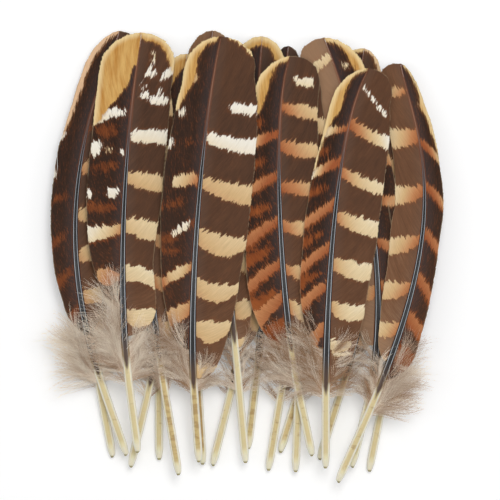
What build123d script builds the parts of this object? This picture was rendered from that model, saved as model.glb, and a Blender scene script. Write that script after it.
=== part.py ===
from build123d import *
from math import cos, pi, radians, sin, sqrt
from typing import NamedTuple
import os

# A fanned pile of twenty uncut wing quills, lying on a table with their tips towards +Y.
# Each quill is three nodes: its shaft (hollow barrel and rachis), its vanes and its down.
# All sizes are millimetres. The table is the plane Z = 0.

# shaft
nub_radius = 0.6
nub_length = 5.0
nub_shoulder = (0.3, 0.6)
nub_start = (0.4, 1)
barrel_radius = 1.75
barrel_wall = 0.5
barrel_straight = 27.0
umbilicus_radius = 0.3
collar_radius = 1.65
collar_length = 11.5
rachis_tip_radius = 0.22
rachis_fullness = 1.3
rachis_end_share = 0.985
rachis_section_count = 12

# vanes and down
barb_gap = 0.12
vane_thickness = 0.45
vane_edge_thickness = 0.3
vane_fall = 0.05
vane_lift = 0.25
vane_section_count = 13
vane_fullness = 0.35
narrowest_vane = 0.5
down_inset = 2.0
down_thickness = 1.0
down_edge_thickness = 0.5
down_gap = 0.6
down_end_fullness = 0.12
down_fullness = 0.6
down_section_count = 7

# pile
arch_height = 6.0
rest_clearance = 0.25
loose_quill_count = 4
sleeve_clearance = 0.7
balance_share = 0.5
cell = 0.5
path_step = 0.38


class Vane(NamedTuple):
    """One side of a quill: shares are of the quill's length, measured from the root."""

    width: float
    base: float
    widest: float
    bluntness: float
    down_width: float


class Quill(NamedTuple):
    """A quill's line seen from above, and its two vanes on its left and its right."""

    root: tuple
    heading: float
    handle: float
    upper: tuple
    tip: tuple
    left: Vane
    right: Vane


# the vanes of quills that are mostly covered
lead = Vane(9.0, 0.30, 0.60, 2.3, 6.0)
trail = Vane(12.5, 0.28, 0.68, 2.4, 6.0)
thin_lead = Vane(8.0, 0.30, 0.60, 2.3, 6.0)

# from the bottom of the pile to its top
quills = [
    Quill((14.0, -82.5), 16.5, 48, (41.5, 32.5), (49.5, 88.0), lead, trail),
    Quill((0.5, -81.0), 6.5, 45, (12.5, 32.5), (17.5, 89.0), lead, Vane(6.0, 0.30, 0.75, 3.4, 6.0)),
    Quill((-37.0, -85.5), 0.0, 43, (-41.5, 39.5), (-34.0, 85.0), lead, trail),
    Quill((9.0, -90.0), 9.5, 44, (28.0, 31.5), (27.0, 82.0), lead, trail),
    Quill((-56.5, -84.5), -10.5, 42, (-76.0, 41.0), (-49.0, 90.5), Vane(8.0, 0.30, 0.60, 2.3, 10.0), trail),
    Quill((51.5, -90.5), 11.0, 45, (67.5, 28.5), (66.0, 75.5), trail, thin_lead),
    Quill((30.5, -85.5), 17.5, 44, (58.0, 29.5), (59.0, 77.5), lead, trail),
    Quill((44.0, -88.5), 14.0, 41, (53.5, 37.0), (32.5, 92.0), Vane(15.0, 0.28, 0.68, 2.4, 6.0), thin_lead),
    Quill((-18.5, -87.5), -3.5, 40, (-19.5, 34.5), (-14.5, 95.5), lead, trail),
    Quill((-14.5, -88.0), 14.0, 45, (1.5, 31.5), (6.5, 93.0), lead, trail),
    Quill((20.5, -90.5), 2.0, 49, (18.0, 26.0), (23.5, 80.0), lead, trail),
    Quill((-49.0, -88.5), 13.5, 42, (-28.0, 34.0), (-25.5, 85.5), lead, trail),
    Quill((-28.5, -91.5), -9.5, 46, (-46.0, 33.0), (-40.5, 88.0), lead, trail),
    Quill((-0.5, -86.5), -5.0, 45, (-13.0, 30.0), (-8.5, 87.0), lead, trail),
    Quill(
        (-50.5, -83.5),
        -19.0,
        49,
        (-79.0, 33.5),
        (-54.0, 94.0),
        Vane(10.5, 0.30, 0.58, 2.2, 15.0),
        Vane(13.5, 0.30, 0.62, 2.4, 10.0),
    ),
    Quill(
        (27.5, -83.5),
        -12.0,
        43,
        (10.0, 67.5),
        (18.5, 84.5),
        Vane(15.5, 0.28, 0.45, 1.9, 14.0),
        Vane(16.5, 0.30, 0.75, 2.4, 9.0),
    ),
    Quill(
        (38.0, -94.5),
        24.0,
        96,
        (72.5, 46.5),
        (64.5, 81.0),
        Vane(13.2, 0.30, 0.62, 1.4, 7.0),
        Vane(7.8, 0.26, 0.60, 2.3, 12.0),
    ),
    Quill(
        (-45.5, -82.0),
        -7.5,
        47,
        (-50.5, 55.5),
        (-44.5, 92.5),
        Vane(16.0, 0.36, 0.62, 2.4, 16.0),
        Vane(16.2, 0.28, 0.80, 2.4, 9.0),
    ),
    Quill(
        (-20.0, -86.0),
        -4.0,
        45,
        (-18.0, 60.5),
        (-10.5, 94.0),
        Vane(15.5, 0.26, 0.60, 2.4, 13.0),
        Vane(22.0, 0.19, 0.68, 2.4, 8.0),
    ),
    Quill(
        (33.0, -88.5),
        0.0,
        43,
        (36.5, 56.0),
        (52.0, 80.5),
        Vane(12.5, 0.29, 0.48, 2.1, 13.0),
        Vane(19.0, 0.21, 0.70, 2.4, 7.0),
    ),
]


class Line:
    """The line of one quill's shaft, found by its share of the quill's length."""

    def __init__(self, quill):
        root = Vector(*quill.root)
        ahead = Vector(sin(radians(quill.heading)), cos(radians(quill.heading)))
        knee = root + ahead * barrel_straight
        tip = Vector(*quill.tip)
        bend = Bezier(knee, knee + ahead * quill.handle, Vector(*quill.upper), tip)
        path = Wire([Edge.make_line(root, knee), bend])
        self.length = path.length
        self.steps = round(self.length / path_step)
        self.spots = [path.position_at(step / self.steps) for step in range(self.steps + 1)]
        chord = (tip - root) / (tip - root).length ** 2
        self.alongs = [(spot - root).dot(chord) for spot in self.spots]
        self.knee = (knee - root).dot(chord)
        self.slope = arch_height / (self.knee + (1 - self.knee) ** 2 / 4)
        self.fall = self.slope / (1 - self.knee) ** 2
        self.base = 0.0
        self.tilt = 0.0

    def height(self, along):
        """The quill arches over the table, and its barrel stays straight."""
        arch = self.slope * along - self.fall * max(0.0, along - self.knee) ** 2
        return self.base + self.tilt * along + arch

    def point(self, share):
        """The middle of the shaft, between two steps of the path."""
        place = min(1.0, max(0.0, share)) * self.steps
        step = min(int(place), self.steps - 1)
        mix = place - step
        spot = self.spots[step] * (1 - mix) + self.spots[step + 1] * mix
        along = self.alongs[step] * (1 - mix) + self.alongs[step + 1] * mix
        return Vector(spot.X, spot.Y, self.height(along))

    def plane(self, share):
        """The quill's cross-section, with X to its right and Y up."""
        back = self.point(share - path_step / self.length) - self.point(share + path_step / self.length)
        return Plane(self.point(share), x_dir=Vector(-back.Y, back.X, 0), z_dir=back)


def shaft_radius(share, length):
    """The barrel swells from its nub, and the rachis tapers from the collar to the tip."""
    nub_share = nub_length / length
    straight_share = barrel_straight / length
    if share < nub_share:
        return nub_radius + (barrel_radius - nub_radius) * sqrt(share / nub_share)
    if share < straight_share:
        return barrel_radius
    collar_share = (barrel_straight + collar_length) / length
    if share < collar_share:
        part = (share - straight_share) / (collar_share - straight_share)
        return barrel_radius + (collar_radius - barrel_radius) * part
    part = min(1.0, (share - collar_share) / (rachis_end_share - collar_share))
    return collar_radius + (rachis_tip_radius - collar_radius) * part**rachis_fullness


def vane_width(vane, share):
    """The vane is full from its base to its widest place, and rounds off at the tip."""
    if share <= vane.widest:
        rise = (share - vane.base) / (vane.widest - vane.base)
        return vane.width * sin(pi / 2 * max(0.0, rise)) ** vane_fullness
    run = min(1.0, (share - vane.widest) / (1 - vane.widest))
    return vane.width * (1 - run**vane.bluntness) ** (1 / vane.bluntness)


def down_span(vane, length):
    """The down starts just past the straight barrel and ends just short of the vane."""
    return (barrel_straight + down_inset) / length, vane.base - down_gap / length


def down_width(vane, share, length):
    """The down is a lobe beside the shaft, just below the vane."""
    start, end = down_span(vane, length)
    rise = min(1.0, max(0.0, (share - start) / (end - start)))
    swell = down_end_fullness + (1 - 2 * down_end_fullness) * rise
    return vane.down_width * sin(pi * swell) ** down_fullness


def blade(share, outer, thick, thin, length):
    """Corners of one blade's cross-section: its inner edge clears the shaft, its outer edge falls."""
    radius = shaft_radius(share, length)
    inner = radius + barb_gap
    outer = max(outer, inner + narrowest_vane)
    middle = vane_lift * radius
    edge = middle - vane_fall * (outer - inner)
    return [
        (inner, middle - thick / 2),
        (outer, edge - thin / 2),
        (outer, edge + thin / 2),
        (inner, middle + thick / 2),
    ]


def vane_blade(vane, share, length):
    return blade(share, vane_width(vane, share), vane_thickness, vane_edge_thickness, length)


def down_blade(vane, share, length):
    return blade(share, down_width(vane, share, length), down_thickness, down_edge_thickness, length)


def blades_at(vane, share, length):
    """The cross-sections that this side of the quill has at this share."""
    start, end = down_span(vane, length)
    if start <= share <= end:
        return [down_blade(vane, share, length)]
    if share >= vane.base:
        return [vane_blade(vane, share, length)]
    return []


def skin(quill, line):
    """Spots over the quill's plan: (x, y, how far along, underside, top), each cell at least once."""
    spots = []
    for step in range(line.steps + 1):
        share = step / line.steps
        spot = line.point(share)
        right = line.plane(share).x_dir
        radius = shaft_radius(share, line.length)
        strips = []
        for across in (-radius, -radius / 2, 0, radius / 2, radius):
            half = sqrt(radius**2 - across**2)
            strips.append((across, -half, half))
        for vane, hand in ((quill.left, -1), (quill.right, 1)):
            for inner_low, outer_low, outer_high, inner_high in blades_at(vane, share, line.length):
                width = outer_low[0] - inner_low[0]
                columns = int(width / path_step) + 1
                for column in range(columns + 1):
                    mix = column / columns
                    low = inner_low[1] + (outer_low[1] - inner_low[1]) * mix
                    high = inner_high[1] + (outer_high[1] - inner_high[1]) * mix
                    strips.append((hand * (inner_low[0] + width * mix), low, high))
        for across, low, high in strips:
            x = spot.X + right.X * across
            y = spot.Y + right.Y * across
            spots.append((x, y, line.alongs[step], spot.Z + low, spot.Z + high))
    return spots


def settle(quill, line, tops, barrel_clearance):
    """Lower the quill until it rests on one spot each side of its balance point."""
    spots = skin(quill, line)
    needs = {}
    for x, y, along, underside, top in spots:
        ground = tops.get((round(x / cell), round(y / cell)), 0.0)
        clearance = barrel_clearance if along < line.knee else rest_clearance
        if ground == 0.0:
            clearance = 0.0
        place = round(along, 2)
        needs[place] = max(needs.get(place, 0.0), ground + clearance - underside)
    near = [(along, need) for along, need in needs.items() if along <= balance_share]
    far = [(along, need) for along, need in needs.items() if along > balance_share]
    highest = 0.0
    for near_along, near_need in near:
        for far_along, far_need in far:
            tilt = (far_need - near_need) / (far_along - near_along)
            middle = near_need + tilt * (balance_share - near_along)
            if middle > highest:
                highest = middle
                line.base = near_need - tilt * near_along
                line.tilt = tilt
    for x, y, along, underside, top in spots:
        raised = top + line.base + line.tilt * along
        column, row = round(x / cell), round(y / cell)
        for key in [(column + i, row + j) for i in (-1, 0, 1) for j in (-1, 0, 1)]:
            tops[key] = max(tops.get(key, 0.0), raised)


def shares_between(start, end, count):
    """Shares that lie closer together towards both ends."""
    return [start + (end - start) * (1 - cos(pi * k / (count - 1))) / 2 for k in range(count)]


def make_shaft(line):
    """A hollow barrel, turned about its own axis, with a small hole in its nub.

    A solid rachis closes its other end.
    """
    straight_share = barrel_straight / line.length
    root = line.point(0)
    knee = line.point(straight_share)
    ahead = (knee - root).normalized()
    section = line.plane(straight_share / 2)
    straight = (knee - root).length
    bore_radius = barrel_radius - barrel_wall
    reach, rise = nub_shoulder
    shoulder = (nub_length * reach, nub_radius + (barrel_radius - nub_radius) * rise)
    with BuildPart() as shaft:
        with BuildSketch(Plane(root, x_dir=ahead, z_dir=section.y_dir)):
            with BuildLine():
                Polyline(
                    (nub_length, barrel_radius),
                    (straight, barrel_radius),
                    (straight, bore_radius),
                    (nub_length, bore_radius),
                    (nub_length, umbilicus_radius),
                    (0, umbilicus_radius),
                    (0, nub_radius),
                )
                Spline(
                    (0, nub_radius),
                    shoulder,
                    (nub_length, barrel_radius),
                    tangents=(nub_start, (1, 0)),
                )
            make_face()
        revolve(axis=Axis(root, ahead))
        with BuildSketch(Plane(knee, section.x_dir, ahead)):
            Circle(barrel_radius)
        for share in shares_between(straight_share, rachis_end_share, rachis_section_count)[1:]:
            section = line.plane(share)
            with BuildSketch(Plane(section.origin, section.x_dir, -section.z_dir)):
                Circle(shaft_radius(share, line.length))
        loft()
    return shaft.part


def make_blades(line, vanes, span, section, count):
    """One thin blade on each side of the shaft, lofted through its cross-sections."""
    with BuildPart() as blades:
        for vane, hand in zip(vanes, (-1, 1)):
            start, end = span(vane)
            for share in shares_between(start, end, count):
                with BuildSketch(line.plane(share)):
                    Polygon(*[(hand * x, y) for x, y in section(vane, share, line.length)], align=None)
            loft()
    return blades.part


pieces = {}
tops = {}
for number, quill in enumerate(quills, start=1):
    line = Line(quill)
    # a sleeve slides onto the barrels of the top quills, which lift off the pile
    loose = number > len(quills) - loose_quill_count
    settle(quill, line, tops, sleeve_clearance if loose else rest_clearance)
    sides = (quill.left, quill.right)
    name = f"quill_{number:02d}"
    pieces[f"{name}_shaft"] = make_shaft(line)
    pieces[f"{name}_vanes"] = make_blades(
        line, sides, lambda vane: (vane.base, 1.0), vane_blade, vane_section_count
    )
    pieces[f"{name}_down"] = make_blades(
        line, sides, lambda vane: down_span(vane, line.length), down_blade, down_section_count
    )
    ends = line.height(0), line.height(balance_share), line.height(1)
    print(name, "length %.1f, heights %.2f %.2f %.2f" % (line.length, *ends))

# stand the pile on the table, centred on the origin
boxes = [piece.bounding_box() for piece in pieces.values()]
low = [min(corner) for corner in zip(*[tuple(box.min) for box in boxes])]
high = [max(corner) for corner in zip(*[tuple(box.max) for box in boxes])]
place = Location((-(low[0] + high[0]) / 2, -(low[1] + high[1]) / 2, -low[2]))
print("moved by", place.position, "size %.1f %.1f %.1f" % tuple(h - l for l, h in zip(low, high)))

os.makedirs("parts", exist_ok=True)
for name, piece in pieces.items():
    placed = piece.moved(place)
    placed.label = name
    export_step(placed, f"parts/{name}.step")
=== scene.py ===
# %% [markdown]
# # A fanned pile of wing quills
#
# Twenty uncut wing feathers of a pheasant lie on a white table, tips away from us. Such feathers are
# what quill pens are cut from. Each one has a hollow horny barrel, a rachis that carries on from it, a
# narrow leading vane and a wide trailing vane made of fine barbs, and soft down where the vanes begin.
#
# The CAD frame already fixes where every feather lies. This lesson keeps those places, and gives each
# feather a surface: combed barbs, ragged bars of buff and rufous, a glossy dark rachis and real down.

from collections import namedtuple

import bpy
import numpy as np
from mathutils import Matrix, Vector


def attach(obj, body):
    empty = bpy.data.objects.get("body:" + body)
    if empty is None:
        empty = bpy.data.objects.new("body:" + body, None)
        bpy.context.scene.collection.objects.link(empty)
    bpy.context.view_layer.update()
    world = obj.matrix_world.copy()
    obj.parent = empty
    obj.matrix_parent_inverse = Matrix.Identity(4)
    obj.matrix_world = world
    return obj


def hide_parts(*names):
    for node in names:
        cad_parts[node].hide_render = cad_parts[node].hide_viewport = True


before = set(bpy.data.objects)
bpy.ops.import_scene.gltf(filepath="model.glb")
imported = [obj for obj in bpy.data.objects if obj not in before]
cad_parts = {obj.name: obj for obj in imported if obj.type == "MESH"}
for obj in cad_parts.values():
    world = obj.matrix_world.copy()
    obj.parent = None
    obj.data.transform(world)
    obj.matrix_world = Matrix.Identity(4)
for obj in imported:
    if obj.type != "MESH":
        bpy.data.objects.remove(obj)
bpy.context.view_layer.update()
mm = 0.001
quill_count = 20

# %% [markdown]
# ## Nodes and colours
#
# Colours are chosen as sRGB hex values, because that is how we see and name them, but shaders work in
# linear light. One function turns one into the other. One more adds a node, with its settings and its
# links, so that a material reads as a short list of steps.

# %% Colours and nodes
def colour(code):
    """An sRGB hex colour as linear red, green, blue and alpha."""
    parts = [int(code[at : at + 2], 16) / 255 for at in (1, 3, 5)]
    return [part / 12.92 if part < 0.04045 else ((part + 0.055) / 1.055) ** 2.4 for part in parts] + [1]


def add(tree, kind, inputs=None, stops=(), **settings):
    """A node with its settings and its colour stops.

    An input is linked to a socket, or set to a value or a hex colour.
    """
    node = tree.nodes.new("ShaderNode" + kind)
    for key, value in settings.items():
        setattr(node, key, value)
    for key, value in (inputs or {}).items():
        if isinstance(value, bpy.types.NodeSocket):
            tree.links.new(value, node.inputs[key])
        else:
            node.inputs[key].default_value = colour(value) if isinstance(value, str) else value
    if stops:
        for _ in stops[2:]:
            node.color_ramp.elements.new(0.5)
        for element, (place, code) in zip(node.color_ramp.elements, stops):
            element.position, element.color = place, colour(code)
    return node


def new_material(name):
    """A material with an empty node tree, and that tree."""
    material = bpy.data.materials.new(name)
    material.use_nodes = True
    material.node_tree.nodes.clear()
    return material, material.node_tree


def finish_material(tree, inputs):
    """End a material's tree with its surface and its output."""
    surface = add(tree, "BsdfPrincipled", inputs)
    add(tree, "OutputMaterial", {"Surface": surface.outputs[0]})


print("mid grey in linear light", [round(part, 3) for part in colour("#808080")])

# %% [markdown]
# A feather's colour is pigment laid over pigment, and where one ends the barbs carry it on in streaks.
# So each material below is built from three steps. A sum of noises says how far inside a pigment's
# area each spot lies, in millimetres, and below zero it is outside. A layer then lays that pigment over
# the others, with an edge as soft as it is asked for.

# %% Sums, noises and layers
def total(tree, *terms):
    """The sum of sockets and numbers. A pair is a socket and its weight."""
    result = sum(term for term in terms if isinstance(term, (int, float)))
    for term in terms:
        if not isinstance(term, (int, float)):
            value, weight = term if isinstance(term, tuple) else (term, 1.0)
            result = add(tree, "Math", {0: value, 1: weight, 2: result}, operation="MULTIPLY_ADD").outputs[0]
    return result


def noise(tree, place, fineness, detail):
    """Noise around zero, from about -1 to 1. Fineness is how often it changes in one unit of each axis."""
    grid = add(tree, "VectorMath", {0: place, 1: fineness}, operation="MULTIPLY").outputs[0]
    made = add(tree, "TexNoise", {"Vector": grid, "Scale": 1.0, "Detail": detail, "Roughness": 0.6})
    return total(tree, (made.outputs[0], 3.2), -1.6)


def layer(tree, under, over, inside, softness, strength=1.0):
    """One colour laid over another where a value is above zero, with a soft edge."""
    limits = {0: inside, 1: -softness, 2: softness, 4: strength}
    share = add(tree, "MapRange", limits, interpolation_type="SMOOTHSTEP").outputs[0]
    return add(tree, "Mix", {0: share, 6: under, 7: over}, data_type="RGBA").outputs[2]


def written(tree, name):
    """The three values that a mesh holds under this name."""
    held = add(tree, "Attribute", attribute_name=name).outputs["Vector"]
    return add(tree, "SeparateXYZ", {0: held}).outputs


print("materials are built from sums, noises and layers")

# %% [markdown]
# ## Reading the frame
#
# Every new piece must lie where its CAD solid lies. So each feather is measured by cutting its CAD
# meshes with planes across it, one per millimetre. Each cut gives the middle and radius of the shaft,
# and the inner and outer edge of the vane on each side.

# %% Cut a mesh with planes
def triangles(name):
    """The corners of a CAD node's triangles, as an array of n x 3 x 3."""
    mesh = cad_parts[name].data
    places = np.empty(len(mesh.vertices) * 3)
    mesh.vertices.foreach_get("co", places)
    mesh.calc_loop_triangles()
    corners = np.empty(len(mesh.loop_triangles) * 3, int)
    mesh.loop_triangles.foreach_get("vertices", corners)
    return places.reshape(-1, 3)[corners].reshape(-1, 3, 3)


def cut(corners, ahead, reach):
    """The points where the plane at this reach along the feather meets the triangles' edges."""
    depth = corners @ ahead - reach
    found = []
    for a, b in ((0, 1), (1, 2), (2, 0)):
        crossing = depth[:, a] * depth[:, b] < 0
        start, end = corners[crossing, a], corners[crossing, b]
        share = depth[crossing, a] / (depth[crossing, a] - depth[crossing, b])
        found.append(start + (end - start) * share[:, None])
    return np.concatenate(found)


print("triangles in one CAD shaft", len(triangles("quill_01_shaft")))

# %% Measure the vane on one side
Side = namedtuple("Side", "hand reach inner outer inner_z outer_z")
# a narrower cut than this lies at a vane's very end, and is left out
narrow_cut = 0.2 * mm


def measure_side(corners, ahead, across, reaches, middles, hand):
    """The edges of the vane on one side: hand is -1 on the left and 1 on the right."""
    rows = []
    for reach, middle in zip(reaches, middles):
        points = cut(corners, ahead, reach)
        out = (points @ across - middle) * hand
        points, out = points[out > 0], out[out > 0]
        if len(points) < 4 or np.ptp(out) < narrow_cut:
            continue
        slope, level = np.polyfit(out, points[:, 2], 1)
        low, high = out.min(), out.max()
        rows.append((reach, low, high, level + slope * low, level + slope * high))
    return Side(hand, *np.array(rows).T)


print("a side is known by its", ", ".join(Side._fields))

# %% Measure one feather
Feather = namedtuple("Feather", "name ahead across reach middle height radius root tip sides")
first_cut = 0.05 * mm
cut_step = 1.0 * mm
slope_steps = 7


def measure(name):
    """The lines of one feather, read from its CAD nodes. Reach is measured along its chord."""
    shaft, vanes = triangles(f"{name}_shaft"), triangles(f"{name}_vanes")
    spots = shaft.reshape(-1, 3)
    plan = spots[:, :2] - spots[:, :2].mean(0)
    chord = np.linalg.svd(plan, full_matrices=False)[2][0]
    chord = chord * np.sign(chord[1])
    ahead, across = np.array([*chord, 0]), np.array([chord[1], -chord[0], 0])
    root, shaft_tip = (spots @ ahead).min(), (spots @ ahead).max()
    tip = (vanes.reshape(-1, 3) @ ahead).max()
    rows = []
    for reach in np.arange(root + first_cut, shaft_tip, cut_step):
        points = cut(shaft, ahead, reach)
        out, up = points @ across, points[:, 2]
        if len(points) > 5:
            rows.append((reach, (out.min() + out.max()) / 2, (up.min() + up.max()) / 2, np.ptp(out) / 2))
    reach, middle, height, radius = np.array(rows).T
    # the vanes reach a little further than the shaft, so its line is carried on to their tip
    steps = np.arange(reach[-1] + cut_step, tip, cut_step)
    run = reach[-1] - reach[-1 - slope_steps]
    slopes = [(line[-1] - line[-1 - slope_steps]) / run for line in (middle, height)]
    middle = np.append(middle, middle[-1] + slopes[0] * (steps - reach[-1]))
    height = np.append(height, height[-1] + slopes[1] * (steps - reach[-1]))
    radius = np.append(radius, np.full(len(steps), radius[-1]))
    reach = np.append(reach, steps)
    sides = [measure_side(vanes, ahead, across, reach, middle, hand) for hand in (-1, 1)]
    return Feather(name, ahead, across, reach, middle, height, radius, root, tip, sides)


feathers = {number: measure(f"quill_{number:02d}") for number in range(1, quill_count + 1)}
for number in (1, 19):
    feather = feathers[number]
    print(feather.name, "length in mm", round((feather.tip - feather.root) / mm, 1))

# %% [markdown]
# ## The plumage chart
#
# A pheasant's wing feather is brown with pale bars, and its leading edge is golden near the tip. A
# ringer would write a bar down as how far it lies below the tip, how thick it is and how pale it is, so
# the chart does the same. Each of these is three numbers, beside the shaft, halfway out and at the
# vane's edge, or one where they agree. Hue runs from 0, rufous, through 1, orange, 2, buff, and 3,
# cream, to 4, white.
#
# Besides its bars, a vane has areas of rust, and a rim, given as pairs: a distance below the tip, and
# the rim's width there. Ground makes it paler or darker, blush turns its rim pink, redness is how
# strong its rust is, and shift moves the whole chart down the feather.

# %% The chart's words
Bar = namedtuple("Bar", "at thick hue span", defaults=[(0, 1)])
# this rim ends above the tip, so that none of it is seen
no_rim = ((-9, 0), (-8, 0))
unmarked = [(), (), no_rim, 0.0, 0.0, 0.0, 0.5]
Plumage = namedtuple("Plumage", "bars rust rim ground blush shift redness", defaults=unmarked)


def bar(at, thick, hue, *span):
    """A pale bar, in millimetres below the tip. Span says how far out it starts and ends."""
    numbers = [np.broadcast_to(np.array(value, float), 3) for value in (at, thick, hue)]
    return Bar(*numbers, span or (0, 1))


def even_bars(first, gap, count, thick, hue, seed):
    """Bars at about even distances, for a vane that mostly lies under others."""
    draw = np.random.default_rng(seed)
    slant = np.array([0, 2.5, 4])
    return [bar(slant + first + gap * step + draw.uniform(-1, 1), thick, hue) for step in range(count)]


def count_bars(number):
    front, back = leading[number].bars, trailing[number].bars
    print("feather", number, "has", len(front), "leading and", len(back), "trailing bars")


print("a vane's chart holds its", ", ".join(Plumage._fields))

# %% [markdown]
# Feathers 15 to 20 lie on top, from left to right 15, 18, 19, 16, 20 and 17. Nearly all of their
# pattern shows, so each of their bars, spots and patches of rust has a line of its own.

# %% Feather 15, on the left
leading, trailing = {}, {}
leading[15] = Plumage(
    bars=[
        bar(44, 5, 4, 0.86, 1),
        bar(60, 6.5, 4, 0.9, 1),
    ],
    rust=[
        bar((68, 70, 72), (0.5, 3, 3.5), 0, 0.25, 0.95),
        bar((84, 87, 90), (1, 4, 4.5), 0, 0.25, 1),
        bar((99, 103, 107), (1.5, 4.8, 5.5), 0, 0.2, 1),
        bar((115, 119.5, 124), (2, 6, 7), 0, 0.1, 1),
    ],
    rim=((0, 0.8), (4, 1.6), (8, 2.3), (22, 2.2), (36, 1.4), (42, 0.8), (46, 0)),
    blush=0.8,
    shift=-0.8,
)
trailing[15] = Plumage(
    bars=[
        bar((58, 57.5, 57), 5.5, (1.2, 2, 2), 0.02, 0.7),
        bar((78, 77.5, 77), 6.5, (1.6, 2.4, 2.4), 0.05, 1),
        bar((95, 94.5, 94), 6, (1.4, 2.2, 2.2), 0.05, 1),
        bar((112, 112, 112), 6, (1.4, 2, 2), 0.05, 1),
    ],
    rust=[bar((30, 29, 28), (4, 5, 4), 0, 0, 0.6), bar((42, 41, 40), (3, 4, 3), 0, 0, 0.6)],
    ground=-0.12,
    shift=-0.8,
)
count_bars(15)

# %% Feather 18, second from the left
leading[18] = Plumage(
    bars=[
        bar((31.2, 30.5, 33), (1.2, 3.8, 7), (4, 4, 3.2), 0.15, 1),
        bar(45.4, 8, 4, 0.72, 0.98),
        bar(46, 2.4, 2.8, 0.42, 0.54),
        bar(47, 2.8, 4, 0.05, 0.17),
        bar(64.5, 4.5, 4, 0.87, 0.99),
        bar(64, 4.8, 3.9, 0.14, 0.46),
        bar((79, 80.5, 81.5), (4.2, 5, 6.5), (1, 2.8, 3.6)),
        bar(99.3, (3, 6.5, 5), (0.9, 1.1, 1.7), 0.05, 0.95),
    ],
    rust=[
        bar(38, (1, 5, 3), 0, 0.3, 0.95),
        bar((52, 53, 54), (2, 4.5, 3), 0, 0.2, 0.95),
        bar((69, 70.5, 70), (1.5, 5, 4), 0, 0.15, 1),
        bar((80, 81, 82), (6, 7, 8), 0),
        bar(113, (3, 6, 6), 0, 0.1, 1),
    ],
    rim=((-4, 15), (2, 14), (8, 13.4), (14, 13.2), (19, 12.5), (24, 9), (29, 5.2), (33, 3.2), (37, 0)),
    shift=3.7,
)
trailing[18] = Plumage(
    bars=[
        bar(5.6, 2.4, 3.2, 0.36, 0.45),
        bar(8.5, 1.4, 3.4, 0.36, 0.44),
        bar(11.2, 3, 4, 0.31, 0.41),
        bar(13.8, 2.6, 4, 0.26, 0.55),
        bar((27, 19, 11), (2.5, 2.8, 5.5), 4, 0.7, 1),
        bar(19.4, 2.6, 4, 0.2, 0.31),
        bar(23, 1.6, 4, 0.17, 0.44),
        bar(21.2, 4, 4, 0.66, 0.76),
        bar((24, 24.8, 25), 3.8, 4, 0.4, 0.94),
        bar((39.8, 40.2, 40.6), (4.6, 5.6, 5.6), (3.8, 3.7, 3.9), 0.03, 1),
        bar((57.3, 59.2, 60.5), (4.2, 6.3, 6.3), (2.0, 2.2, 2.4)),
        bar((77.3, 79, 80.2), (4, 7.5, 7.5), (2.1, 2.6, 2.8)),
        bar((97.4, 98, 100.8), (6, 7.2, 6.5), (2.6, 3, 3.1)),
        bar((114.5, 116.7, 115.4), (4, 7.8, 5), (2.3, 2.8, 2.8)),
        bar((127, 128.5, 127.5), (5, 8, 5), (2, 2.6, 2.6)),
    ],
    rim=((-4, 2.8), (4, 3.2), (9, 2.4), (12, 1.2), (14, 0)),
    ground=-0.1,
    shift=3.7,
)
count_bars(18)

# %% Feather 19, third from the left
leading[19] = Plumage(
    bars=[
        bar(17.5, 4.5, 2.2, 0.5, 0.66),
        bar(32, 4.2, 3.8, 0.68, 0.86),
        bar(44.5, 5.2, 4, 0.86, 1),
        bar((59.2, 60.5, 62.5), (4, 5, 4), (0.5, 2.4, 3.1), 0.02, 0.74),
        bar((76.5, 81.5, 86), (3, 3.4, 3), 3.6, 0.2, 0.68),
        bar((96, 99.3, 104), (3.4, 4.4, 3.2), (0.3, 2.5, 0.4)),
        bar((112.6, 116, 119.3), (5, 6.5, 6), (0.9, 1.7, 1.3)),
    ],
    rust=[
        bar(44.5, (1.0, 1.4, 0.8), 0, 0.05, 0.85),
        bar((59.2, 60.5, 62.5), (5, 5, 3), 0, 0, 0.5),
        bar((66, 69, 72.5), (1, 3, 2.5), 0, 0.4, 1),
        bar((78, 79, 80), (4.5, 2, 1), 0, 0, 0.3),
        bar((84, 84.5, 85.5), (3, 5, 4.6), 0, 0.5, 1),
        bar(90.3, (1, 2.8, 3.4), 0, 0.4, 1),
        bar((96, 99.3, 104), (5, 6, 5), 0),
        bar((112, 116, 120), (6, 8, 8), 0),
    ],
    rim=((-2, 1.4), (6, 3.0), (12, 4.8), (16, 5.2), (22, 3.6), (29, 1.8), (33, 0)),
    ground=0.06,
    shift=0.8,
)
trailing[19] = Plumage(
    bars=[
        bar((29, 30, 30.4), (1.5, 3.8, 4.8), 4, 0.42, 0.98),
        bar((42.4, 45.2, 45.8), (4.8, 5.4, 6.3), (3.6, 3.9, 4), 0.03, 1),
        bar((61.5, 64.9, 66.2), (4.4, 7.2, 8.0), (1.9, 2.1, 2.3)),
        bar((83.6, 87.8, 86.8), (6.4, 8.8, 5.0), (1.9, 2.3, 2.5)),
        bar((104.4, 107.6, 105.4), (6.3, 7.6, 3.6), (1.9, 2.3, 2.5)),
        bar((121.8, 124.4, 121.6), (4.4, 8.8, 4.4), (2, 2.3, 2.4)),
        bar((139.5, 140.5, 139), (4.8, 6, 3), (2, 2.4, 2.4)),
    ],
    rust=[bar((42.4, 45, 46), (7, 1, 1), 0, 0, 0.2)],
    rim=((0, 0.5), (3, 0.6), (4, 1.3), (8, 1.1), (9.5, 0)),
    ground=-0.07,
)
count_bars(19)

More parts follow.
